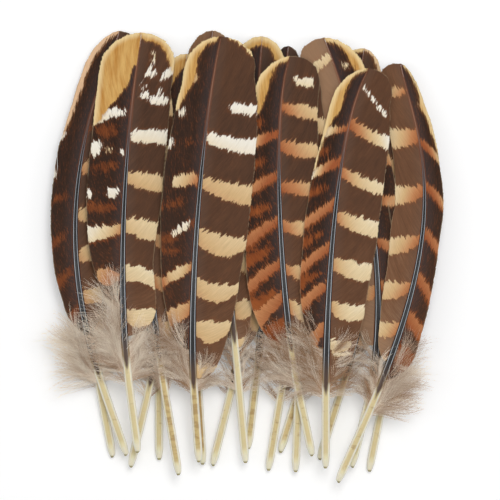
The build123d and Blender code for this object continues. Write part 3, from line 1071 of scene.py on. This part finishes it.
def skin_lines(feather, order):
    """How far up the feather each row of the grid lies, and how wide the shaft is there."""
    first = len(nub_rings) / shaft_rows
    skin = np.clip((order - first) / (1 - first), 0, 1)
    # the rows lie closer together near the root
    share = np.where(skin < dense_share, dense_share * (skin / dense_share) ** 1.5, skin)
    reach = feather.root + (feather.tip - feather.root) * share
    radius = np.interp(reach, feather.reach, feather.radius)
    row = np.round(order * shaft_rows)
    for index, (inward, size) in enumerate(nub_rings):
        reach = np.where(row == index, feather.root + inward * mm, reach)
        radius = np.where(row == index, size * mm, radius)
    # the last third thins to a hair, and the last row closes it
    left = np.clip((feather.tip - reach) / thinning_length, 0, 1)
    radius = radius * (thinned + (1 - thinned) * left**0.7) * np.minimum(1, left * 20 + 0.02)
    return reach, np.where(row == shaft_rows, 0, radius)


def make_shaft(number, feather, dark_from, stain, material):
    """Roll a grid into a feather's barrel and rachis."""
    piece, shares = new_grid(f"{feather.name}_barrel_and_rachis", around_steps, shaft_rows)
    turn, order = shares.T
    sideways, up = np.sin(turn * 2 * np.pi), np.cos(turn * 2 * np.pi)
    reach, radius = skin_lines(feather, order)
    from_root = (reach - feather.root) / mm
    # the rachis is squarer than the barrel, with a shallow groove along its back
    squared = np.clip((from_root - rachis_from) / (rachis_at - rachis_from), 0, 1)
    groove = groove_depth * np.exp(-((sideways / groove_width) ** 2)) * (up > 0)
    belly = belly_depth * np.exp(-((sideways / belly_width) ** 2)) * (up < 0)
    radius = radius * (1 - squared * (groove + belly))
    # the barrel is never quite even
    wobble = 1 + wobble_depth * np.sin(from_root * 0.9 + number) * np.sin(from_root * 0.23 + 2 * number)
    radius = radius * np.where((from_root > wobbly_from) & (from_root < wobbly_to), wobble, 1)
    middle = np.interp(reach, feather.reach, feather.middle)
    height = np.interp(reach, feather.reach, feather.height)
    put_corners(piece, feather, reach, middle + radius * sideways, height + radius * up)
    write(piece.data, "horn", from_root, from_root - dark_from, (feather.tip - reach) / mm)
    write(piece.data, "turned", sideways)
    write(piece.data, "stain", stain)
    bpy.ops.object.mode_set(mode="EDIT")
    bpy.ops.mesh.select_all(action="SELECT")
    bpy.ops.mesh.remove_doubles(threshold=weld_distance)
    bpy.ops.object.mode_set(mode="OBJECT")
    turn_outwards(piece)
    bpy.ops.object.shade_smooth_by_angle(angle=hole_angle)
    finish_piece(piece, material, number, f"{feather.name}_shaft")
    return piece


print("corners round a shaft", around_steps, "and along it", shaft_rows)

# %% [markdown]
# ## The shafts' finish: horn
#
# The barrel is clear yellowish horn over a dry membrane. So it is creamy with white flanks, paler at
# the nub, with tan flakes 2 to 3 mm long and faint rings 2 mm apart, and a little light passes into
# it. Where the vanes begin it turns brown and then slate black, with a painted highlight, a pale grey
# line, on each shoulder, and near the tip it is a thin reddish line.

# %% The barrel's horn
def barrel_shade(tree, from_root, flank, stain, flake, ring, streak):
    """Cream horn with its membrane, flakes, white flanks and clear nub."""
    clear = total(tree, (stain, -0.3), (ring, 0.12), 0.45)
    shade = add(tree, "Mix", {0: clear, 6: "#dbcf9b", 7: "#f0eacd"}, data_type="RGBA").outputs[2]
    # the membrane shows as a darker core, and only past the nub
    core = {0: total(tree, 0.5, (flank, -1.0), (streak, 0.12)), 1: -0.14, 2: 0.14}
    core[4] = total(tree, (stain, 0.7), 0.2)
    core_strength = add(tree, "MapRange", core, interpolation_type="SMOOTHSTEP").outputs[0]
    shade = layer(tree, shade, "#bf9f62", total(tree, from_root, -6.0, (ring, 1.2)), 1.5, core_strength)
    past_nub = {0: total(tree, from_root, -7.0), 1: -2.0, 2: 2.0, 4: 0.55}
    flake_strength = add(tree, "MapRange", past_nub, interpolation_type="SMOOTHSTEP").outputs[0]
    flaky = total(tree, flake, ring, (stain, 1.8), -1.25)
    shade = layer(tree, shade, "#94703f", flaky, 0.5, flake_strength)
    shade = layer(tree, shade, "#f4f0e2", total(tree, flank, -0.58, (streak, 0.06)), 0.14, 0.85)
    # the nub is clear and pale, with a dark speck at its very end
    shade = layer(tree, shade, "#ece7d3", total(tree, 4.5, (from_root, -1.0), (ring, 1.2)), 1.5, 0.6)
    return layer(tree, shade, "#8f8447", total(tree, 0.75, (from_root, -1.0)), 0.35, 0.85)


print("layers of the barrel: membrane, flakes, white flanks, clear nub, dark speck")

# %% The rachis's horn
def rachis_shade(tree, shade, past_dark, from_tip, flank, streak):
    """Horn that turns brown, then slate black with painted shoulder highlights, and reddish near the tip."""
    brown = layer(tree, "#4d382c", "#a58c69", total(tree, flank, -0.55), 0.2)
    shade = layer(tree, shade, brown, total(tree, past_dark, (flank, -5.0), (streak, 1.2)), 2.5)
    # a painted highlight, a pale grey line, on each shoulder, and a brown foot below it
    from_painted_highlight = add(tree, "Math", {0: total(tree, flank, -0.58)}, operation="ABSOLUTE").outputs[0]
    # the slate colour carries both painted highlight lines
    slate = layer(tree, "#0f0f10", "#b3b7bd", total(tree, 0.08, (from_painted_highlight, -1.0)), 0.05)
    slate = layer(tree, slate, "#2b2322", total(tree, flank, -0.82), 0.1)
    shade = layer(tree, shade, slate, total(tree, past_dark, -11.0), 7.0)
    thin = layer(tree, "#5b4036", "#8a5f48", total(tree, 30.0, (from_tip, -1.0)), 14.0)
    return layer(tree, shade, thin, total(tree, 46.0, (from_tip, -1.0)), 12.0)


print("layers of the rachis: brown, slate black, reddish tip")

# %% Horn material
def horn_material():
    """Barrel and rachis in one finish, glossy and a little see-through."""
    material, tree = new_material("keratin horn, polished by preening")
    from_root, past_dark, from_tip = written(tree, "horn")
    sideways = add(tree, "Attribute", attribute_name="turned").outputs["Fac"]
    stain = add(tree, "Attribute", attribute_name="stain").outputs["Fac"]
    flank = add(tree, "Math", {0: sideways}, operation="ABSOLUTE").outputs[0]
    place = add(tree, "TexCoord").outputs["Object"]
    around = total(tree, (sideways, 0.4))
    skin = add(tree, "CombineXYZ", {0: from_root, 1: around, 2: stain}).outputs[0]
    flake = noise(tree, place, (0.42 / mm, 0.42 / mm, 0.42 / mm), 4)
    ring = noise(tree, skin, (0.55, 0.55, 0.55), 3)
    streak = noise(tree, skin, (0.36, 3.0, 3.0), 2)

    shade = barrel_shade(tree, from_root, flank, stain, flake, ring, streak)
    shade = rachis_shade(tree, shade, past_dark, from_tip, flank, streak)
    height = total(tree, (flake, 0.3), (ring, 0.5))
    relief = add(tree, "Bump", {"Height": height, "Strength": 0.25, "Distance": 0.06 * mm})
    polish = {"Roughness": 0.22, "IOR": 1.54, "Specular IOR Level": 0.3, "Normal": relief.outputs[0]}
    # horn lets a little light in, red deepest
    depth = {"Subsurface Weight": 0.12, "Subsurface Radius": (0.9, 0.6, 0.35), "Subsurface Scale": 1.0 * mm}
    finish_material(tree, {"Base Color": shade, **polish, **depth})
    return material


horn_finish = horn_material()
print("nodes in the horn's finish", len(horn_finish.node_tree.nodes))

# %% Make all the shafts
# how far from its root each shaft turns dark, in millimetres, and how stained its barrel is
dark_from = {15: 33, 16: 44, 17: 38, 18: 35, 19: 30, 20: 31, 14: 50, 13: 48, 9: 30}
stained = {2: 0.6, 9: 0.95, 13: 0.7, 1: 0.55, 4: 0.45, 7: 0.5, 19: 0.75, 17: 0.35}
shaft_faces = 0
for number, feather in feathers.items():
    piece = make_shaft(number, feather, dark_from.get(number, 34), stained.get(number, 0.25), horn_finish)
    shaft_faces += len(piece.data.polygons)
print("faces in the shafts", shaft_faces)

# %% [markdown]
# ## The down
#
# Below the vanes the barbs have no hooks. They are loose, soft threads with finer hairs on them. One
# thread is modelled once: a three-sided tapering stem with short hairs on both sides, a few dozen
# faces in all. Hundreds of copies are then laid in tufts, each copy bent along its own curve, because a
# tuft of real down is many threads that leave the shaft together and part again.

# %% Model one thread
stem_rings = 6
stem_sides = 3
hair_count = 8
stem_thinning = 0.8
# along a thread of length 1: where its hairs begin and how far they go on, how thick a hair's foot is,
# and how far its point leans forward
hairs_from, hairs_over, hair_foot, hair_lean = 0.14, 0.84, 0.008, 0.07


def make_thread():
    """One straight thread along X, of length 1, as corners and faces. Hairs lie in the XY plane.

    A corner's last number says how far out its hair's point is, and is 0 on the stem.
    """
    corners, faces = [], []
    for ring in range(stem_rings):
        along = ring / (stem_rings - 1)
        for turn in range(stem_sides):
            angle = turn * 2 * np.pi / stem_sides
            size = 1 - stem_thinning * along
            corners.append((along, np.cos(angle) * size, np.sin(angle) * size, 0))
    for ring in range(stem_rings - 1):
        for turn in range(stem_sides):
            a, b = ring * stem_sides + turn, ring * stem_sides + (turn + 1) % stem_sides
            faces.append((a, b, b + stem_sides, a + stem_sides))
    last = (stem_rings - 1) * stem_sides
    faces += [(0, 2, 1), (last, last + 1, last + 2)]
    # a hair is a thin three-sided spike
    for hair in range(hair_count):
        along = hairs_from + hairs_over * hair / hair_count
        hand = 1 if hair % 2 else -1
        a = len(corners)
        corners += [(along, 0, 0.5, 0), (along, 0, -0.5, 0), (along + hair_foot, 0, 0, 0)]
        corners.append((along + hair_lean, 0, 0, hand))
        faces += [(a, a + 1, a + 3), (a + 1, a + 2, a + 3), (a + 2, a, a + 3), (a, a + 2, a + 1)]
    return np.array(corners, float), faces


thread_corners, thread_faces = make_thread()
print("faces in one thread of down", len(thread_faces))

# %% Bend a thread
thread_radius = 0.075 * mm
hair_length = 0.85 * mm
hair_spread = (0.5, 1.3)
most_tilt = 0.8


def bent(thread, path, tilt):
    """The thread's corners laid along a path, with its hairs turned by the tilt."""
    along = np.linspace(0, 1, len(path))
    tangent = np.gradient(path, axis=0)
    tangent /= np.linalg.norm(tangent, axis=1)[:, None]
    flat = np.stack([-tangent[:, 1], tangent[:, 0], np.zeros(len(path))], axis=-1)
    flat /= np.linalg.norm(flat, axis=1)[:, None]
    lifted = np.cross(tangent, flat)
    flat, lifted = flat * np.cos(tilt) + lifted * np.sin(tilt), lifted * np.cos(tilt) - flat * np.sin(tilt)
    at, sideways, upwards = (
        np.stack([np.interp(thread[:, 0], along, values[:, axis]) for axis in range(3)], axis=-1)
        for values in (path, flat, lifted)
    )
    return at + sideways * thread[:, 1:2] + upwards * thread[:, 2:3]


print("a thread of down is", 2 * thread_radius / mm, "mm thick")

# %% Lay one tuft
Tufts = namedtuple("Tufts", "hand count start lean long")
path_points = 21
lowest_path = (0.2 * mm, 0.9 * mm)
# a lock beside its group: its share of the length, its curl in radians and its lift in millimetres
lock_length, lock_curl, lock_lift = (0.7, 1.1), (-0.25, 0.55), (-0.4, 2.6)
# a thread beside its lock: its share of the length, and how it strays in lean, in curl and at its start
thread_length, stray_lean, stray_curl, stray_start = (0.65, 1.05), 0.07, 0.13, 0.9


def tuft_paths(draw, feather, side, tufts, per_tuft):
    """The paths of one tuft's threads. They leave the shaft apart, and meet in a pointed lock."""
    along = np.linspace(0, 1, path_points)
    # the lock: where it starts, how it leans, how long it is, how it curls, lifts and waves
    start = feather.root + draw.uniform(*tufts.start) * mm
    lean = np.radians(draw.uniform(*tufts.lean))
    long = draw.uniform(*lock_length) * tufts.long * mm
    curl = draw.normal(*lock_curl)
    lift = draw.uniform(*lock_lift) * mm
    phase = draw.uniform(0, 6.3)
    for _ in range(per_tuft):
        # each thread strays a little from its lock's line
        step = long * draw.uniform(*thread_length) / (path_points - 1)
        heading = lean + draw.normal(0, stray_lean) + (curl + draw.normal(0, stray_curl)) * along
        heading = heading + 0.2 * np.sin(along * 5 + phase) * along
        apart = draw.normal(0, stray_start) * mm * (1 - along) ** 1.5
        reach = start + np.cumsum(np.cos(heading)) * step + apart
        outward = np.cumsum(np.sin(heading)) * step + draw.normal(0, 0.3) * mm * along
        middle = np.interp(start, feather.reach, feather.middle)
        radius = np.interp(start, feather.reach, feather.radius)
        level = np.interp(reach, feather.reach, feather.height)
        wave = 0.6 * mm * np.sin(along * 4 + phase + draw.normal(0, 0.4)) * along
        height = level + (lift + draw.normal(0, 0.3) * mm) * along**1.3 + wave - 0.04 * outward
        across = middle + side.hand * (radius * 0.5 + outward)
        path = reach[:, None] * feather.ahead + across[:, None] * feather.across
        path[:, 2] = np.maximum(height, draw.uniform(*lowest_path))
        yield path


print("a tuft is known by its", ", ".join(Tufts._fields))

# %% Lay a feather's tufts
table_gap = 0.05 * mm


def make_down(number, feather, tuft_list, per_tuft, paler, material):
    """All the down of one feather: bent copies of the thread, each in its own shade."""
    draw = np.random.default_rng(500 + number)
    hair_out = thread_corners[:, 3]
    spots, tints = [], []
    for tufts in tuft_list:
        side = feather.sides[0 if tufts.hand < 0 else 1]
        for _ in range(tufts.count):
            shade = draw.uniform(-0.2, 1.2) + paler
            for path in tuft_paths(draw, feather, side, tufts, per_tuft):
                thread = thread_corners[:, :3] * (1, thread_radius, thread_radius)
                long = hair_length * draw.uniform(*hair_spread)
                thread[:, 1] += hair_out * long * (1 - 0.4 * thread[:, 0])
                spots.append(bent(thread, path, draw.uniform(-most_tilt, most_tilt)))
                own = np.full(len(thread), np.clip(shade + draw.normal(0, 0.12), 0, 1))
                tints.append([thread[:, 0], own, np.abs(hair_out)])
    corner_count = len(thread_corners)
    faces = [
        tuple(corner + copy * corner_count for corner in face)
        for copy in range(len(spots))
        for face in thread_faces
    ]
    spots = np.concatenate(spots)
    spots[:, 2] = np.maximum(spots[:, 2], table_gap)
    mesh = bpy.data.meshes.new(f"{feather.name}_afterfeather")
    mesh.from_pydata(spots.tolist(), [], faces)
    write(mesh, "down", *np.concatenate(tints, axis=1))
    piece = bpy.data.objects.new(mesh.name, mesh)
    bpy.context.collection.objects.link(piece)
    finish_piece(piece, material, number, f"{feather.name}_down")
    return piece


print("corners in one thread", len(thread_corners))

# %% [markdown]
# ## The down's finish: unhooked keratin threads
#
# Down is matt, and so fine that light scatters through it. It is grey-brown near the shaft and paler at
# its tips, and each tuft has its own shade. Its hairs are a little browner than its stems.

# %% Down material
def down_material():
    """Matt grey-brown threads, paler out from the shaft."""
    material, tree = new_material("keratin down, matt")
    along, shade, hair = written(tree, "down")
    stem = add(tree, "Mix", {0: shade, 6: "#b38d6c", 7: "#fff5e4"}, data_type="RGBA").outputs[2]
    fuzz = add(tree, "Mix", {0: shade, 6: "#a17d5c", 7: "#ffefd8"}, data_type="RGBA").outputs[2]
    tint = add(tree, "Mix", {0: hair, 6: stem, 7: fuzz}, data_type="RGBA").outputs[2]
    near_shaft = total(tree, 0.4, (along, -0.4))
    tint = add(tree, "Mix", {0: near_shaft, 6: tint, 7: "#a68a70"}, data_type="RGBA").outputs[2]
    finish_material(tree, {"Base Color": tint, "Roughness": 0.85, "IOR": 1.5, "Specular IOR Level": 0.2})
    return material


down_finish = down_material()
print("nodes in the down's finish", len(down_finish.node_tree.nodes))

# %% [markdown]
# Each line below is a group of tufts: their side, their number, how far from the root they start, how
# many degrees they lean out, and how long they are. Down that shows is laid thick, and down that lies
# under other feathers is thinner.

# %% Make all the down
hidden = [Tufts(hand, 16, (30, 50), (25, 75), 13) for hand in (-1, 1)]
tufts_of = {
    15: [Tufts(-1, 54, (30, 49), (35, 95), 22), Tufts(1, 18, (32, 46), (20, 70), 14)],
    18: [
        Tufts(-1, 70, (34, 60), (18, 50), 20),
        Tufts(-1, 40, (33, 50), (45, 80), 23),
        Tufts(-1, 20, (30, 42), (40, 95), 15),
        Tufts(1, 54, (30, 45), (30, 85), 16),
    ],
    19: [Tufts(-1, 70, (30, 48), (25, 80), 18), Tufts(1, 18, (30, 40), (30, 85), 13)],
    16: [
        Tufts(-1, 50, (30, 46), (30, 85), 18),
        Tufts(1, 24, (30, 46), (25, 80), 14),
        *[Tufts(hand, 14, (31, 44), (2, 24), 13) for hand in (-1, 1)],
    ],
    20: [Tufts(-1, 64, (31, 54), (35, 95), 19), Tufts(1, 34, (30, 50), (30, 80), 14)],
    17: [Tufts(-1, 24, (34, 50), (25, 75), 13), Tufts(1, 60, (31, 54), (30, 95), 20)],
    13: [Tufts(hand, 44, (34, 60), (2, 26), 14) for hand in (-1, 1)],
    5: [Tufts(-1, 32, (30, 52), (45, 100), 19), Tufts(1, 10, (30, 48), (25, 75), 12)],
    6: [Tufts(-1, 10, (30, 48), (25, 75), 12), Tufts(1, 26, (30, 48), (45, 100), 17)],
}
paler = {5: 0.55, 15: 0.6, 18: 0.3, 20: -0.2}
threads_on_top, threads_below = 12, 8
down_faces = 0
for number, feather in feathers.items():
    per_tuft = threads_on_top if number >= first_on_top else threads_below
    tuft_list = tufts_of.get(number, hidden)
    piece = make_down(number, feather, tuft_list, per_tuft, paler.get(number, 0), down_finish)
    down_faces += len(piece.data.polygons)
print("faces in the down", down_faces)

# %% [markdown]
# ## Table, light and camera
#
# The feathers lie on a white sheet that runs out to white. Soft light comes from all round, with a
# broad lamp overhead for soft shadows, and two long strips at the sides that put a soft gloss on the
# shafts. The camera looks straight down through a long lens.

# %% The table
table_glow = 0.25


def seen_as_white(tree):
    """1 for the rays that look at the white surroundings, and 0 for those that only light a surface."""
    rays = add(tree, "LightPath").outputs
    looking = rays["Is Camera Ray"]
    for kind in ("Is Transmission Ray", "Is Glossy Ray"):
        looking = add(tree, "Math", {0: looking, 1: rays[kind]}, operation="MAXIMUM").outputs[0]
    return looking


bpy.ops.object.select_all(action="DESELECT")
bpy.ops.mesh.primitive_plane_add(size=8, location=(0, 0, -0.02 * mm))
table = bpy.context.object
table.name = "table"
paper, tree = new_material("matt white paper")
glow = total(tree, (seen_as_white(tree), table_glow))
glowing = {"Emission Color": (1, 1, 1, 1), "Emission Strength": glow}
finish_material(tree, {"Base Color": "#e7e7e7", "Roughness": 0.9, "Specular IOR Level": 0.0, **glowing})
table.data.materials.append(paper)
print("the table is", round(table.dimensions.x, 1), "m wide")

# %% Light
fill = 0.36
world = bpy.data.worlds.new("white studio")
bpy.context.scene.world = world
world.use_nodes = True
tree = world.node_tree
tree.nodes.clear()
strength = total(tree, fill, (seen_as_white(tree), 1 - fill))
background = add(tree, "Background", {"Color": (1, 1, 1, 1), "Strength": strength})
add(tree, "OutputWorld", {"Surface": background.outputs[0]})


def lamp(name, place, size, power):
    """A soft rectangular lamp that faces the feathers."""
    data = bpy.data.lights.new(name, "AREA")
    data.shape = "RECTANGLE"
    data.size, data.size_y = size
    data.energy = power
    made = bpy.data.objects.new(name, data)
    bpy.context.collection.objects.link(made)
    made.location = place
    made.rotation_euler = (-Vector(place)).to_track_quat("-Z", "Y").to_euler()
    return made


overhead = lamp("overhead", (0.15, 0.35, 1.1), (0.5, 0.5), 6.1)
# only the strips are seen in the gloss, so that the overhead lamp doesn't grey the shafts' black backs
overhead.visible_glossy = False
for side, place in (("left", -0.55), ("right", 0.55)):
    strip = lamp(f"{side} strip", (place, 0, 0.75), (0.12, 1.2), 1.5)
    print(strip.name, strip.data.energy, "W")

# %% Camera
view_width = 210 * mm
# the middle of the view, at the height of the feathers on top
view_middle = (1.3 * mm, 2.5 * mm, 8 * mm)
camera_data = bpy.data.cameras.new("camera")
camera_data.lens = 260
camera_data.clip_end = 20
distance = view_width * camera_data.lens / camera_data.sensor_width
camera = bpy.data.objects.new("camera", camera_data)
bpy.context.collection.objects.link(camera)
camera.location = (view_middle[0], view_middle[1], distance + view_middle[2])
bpy.context.scene.camera = camera
bpy.context.scene.view_settings.view_transform = "Standard"
print("camera height in m", round(camera.location.z, 3))
